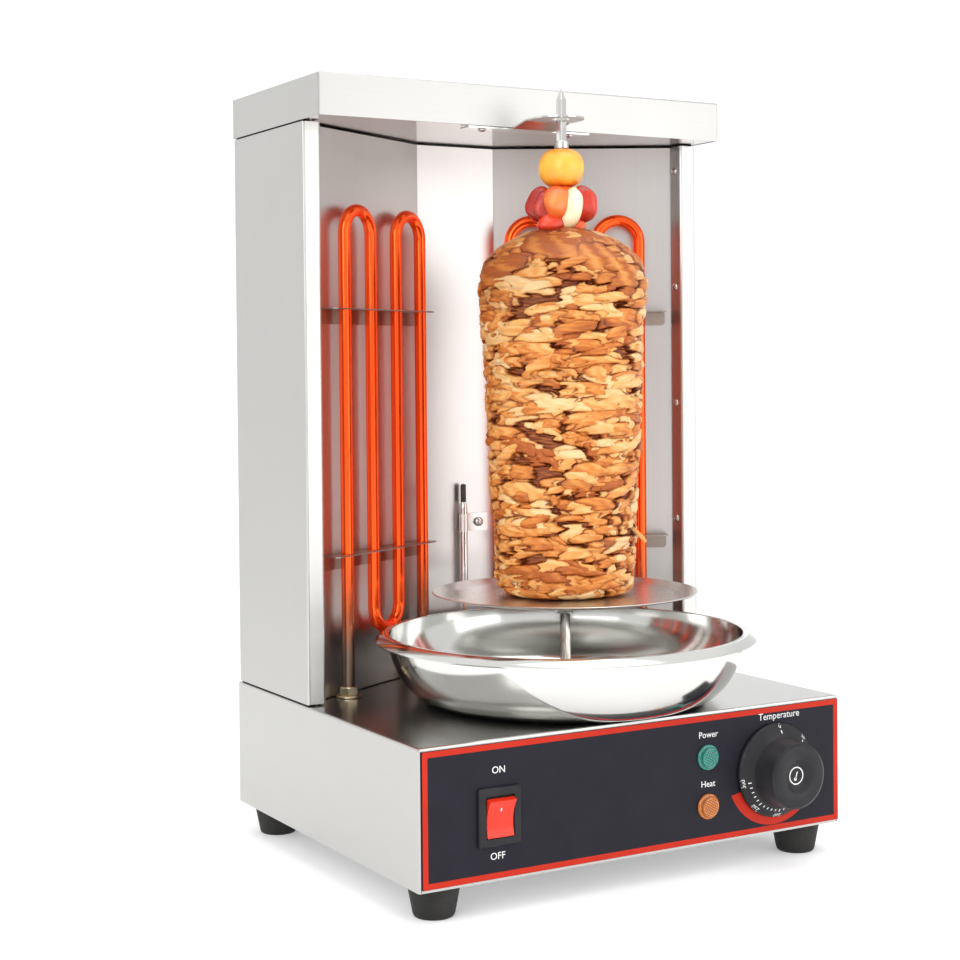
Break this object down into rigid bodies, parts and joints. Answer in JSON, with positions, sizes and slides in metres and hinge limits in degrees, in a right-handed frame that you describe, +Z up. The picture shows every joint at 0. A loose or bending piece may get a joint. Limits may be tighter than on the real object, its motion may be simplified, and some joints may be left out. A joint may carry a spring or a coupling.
{
  "type": "vertical rotisserie broiler",
  "caption": "Countertop vertical rotisserie broiler with a turning spit, glowing tube elements behind it and a drip bowl.",
  "frame": {"origin": "centre of the overall box, on the surface that the feet stand on", "axes": "+Z up, -Y towards the cook and the controls, +X to the cook's right"},
  "size_m": [0.33, 0.3295, 0.5345],
  "materials": {
    "brushed_steel": "brushed stainless",
    "liner_steel": "bright annealed stainless, near mirror",
    "polished_steel": "polished stainless",
    "zinc_steel": "zinc-plated steel",
    "motor_steel": "dull grey",
    "brass": "turned brass",
    "copper": "drawn copper",
    "hot_element": "steel-sheathed tube glowing orange red",
    "overlay_black": "printed polyester film, satin",
    "black_plastic": "moulded, satin",
    "grey_ceramic": "steatite ceramic",
    "red_plastic": "translucent red, glossy",
    "green_lens": "knurled lamp lens",
    "amber_lens": "knurled lamp lens",
    "rubber": "matte black rubber",
    "roast_meat": null,
    "tomato": null,
    "onion": null
  },
  "bodies": {
    "housing": {"base_body": "brushed_steel", "front_overlay": "overlay_black", "bottom_plate": "zinc_steel", "rear_panel": "brushed_steel", "tower_shell": "brushed_steel", "front_flange_left": "brushed_steel", "front_flange_right": "brushed_steel", "reflector_liner": "liner_steel", "top_cap": "brushed_steel", "roof_sheet": "liner_steel", "spit_bracket": "polished_steel", "bracket_screw_1": "polished_steel", "bracket_screw_2": "polished_steel", "heating_element_left": "hot_element", "heating_element_right": "hot_element", "sensing_bulb": "polished_steel", "capillary_tube": "copper", "bulb_clip": "zinc_steel", "bulb_clip_screw": "polished_steel", "switch_housing": "black_plastic", "power_lamp_body": "black_plastic", "power_lamp_lens": "green_lens", "hot_lamp_body": "black_plastic", "hot_lamp_lens": "amber_lens", "thermostat_body": "grey_ceramic", "gear_motor": "motor_steel", "gearbox": "zinc_steel", "motor_bracket": "zinc_steel", "shaft_bush": "brass", "terminal_block": "grey_ceramic", "cord_gland": "black_plastic", "element_bushing_left_outer": "brass", "element_bushing_left_inner": "brass", "element_support_left_lower": "zinc_steel", "element_support_left_upper": "zinc_steel", "element_bushing_right_outer": "brass", "element_bushing_right_inner": "brass", "element_support_right_lower": "zinc_steel", "element_support_right_upper": "zinc_steel", "foot_front_left": "rubber", "foot_screw_front_left": "zinc_steel", "foot_front_right": "rubber", "foot_screw_front_right": "zinc_steel", "foot_rear_left": "rubber", "foot_screw_rear_left": "zinc_steel", "foot_rear_right": "rubber", "foot_screw_rear_right": "zinc_steel"},
    "drive": {"drive_shaft": "zinc_steel"},
    "spit": {"skewer": "polished_steel", "spit_plate": "polished_steel", "plate_hub": "polished_steel", "skewer_collar": "polished_steel", "meat_stack": "roast_meat", "tomato": "tomato", "onion": "onion"},
    "bowl": {"drip_bowl": "polished_steel", "bowl_collar": "polished_steel"},
    "rocker": {"switch_rocker": "red_plastic"},
    "knob": {"temperature_knob": "black_plastic", "thermostat_shaft": "zinc_steel"}
  },
  "joints": [
    {"name": "drive_turn", "type": "hinge", "parent": "housing", "child": "drive", "pos_m": [0, -0.03375, 0.109], "axis": [0, 0, 1], "continuous": true},
    {"name": "spit_lift", "type": "slide", "parent": "drive", "child": "spit", "axis": [0, 0, 1], "range_m": [0, 0.014]},
    {"name": "bowl_lift", "type": "slide", "parent": "housing", "child": "bowl", "axis": [0, 0, 1], "range_m": [0, 0.02]},
    {"name": "switch_rock", "type": "hinge", "parent": "housing", "child": "rocker", "pos_m": [-0.1093, -0.12445, 0.0615], "axis": [-1, 0, 0], "range_deg": [0, 18]},
    {"name": "dial_turn", "type": "hinge", "parent": "housing", "child": "knob", "pos_m": [0.1078, -0.12525, 0.0642], "axis": [0, -1, 0], "range_deg": [0, 290]}
  ]
}
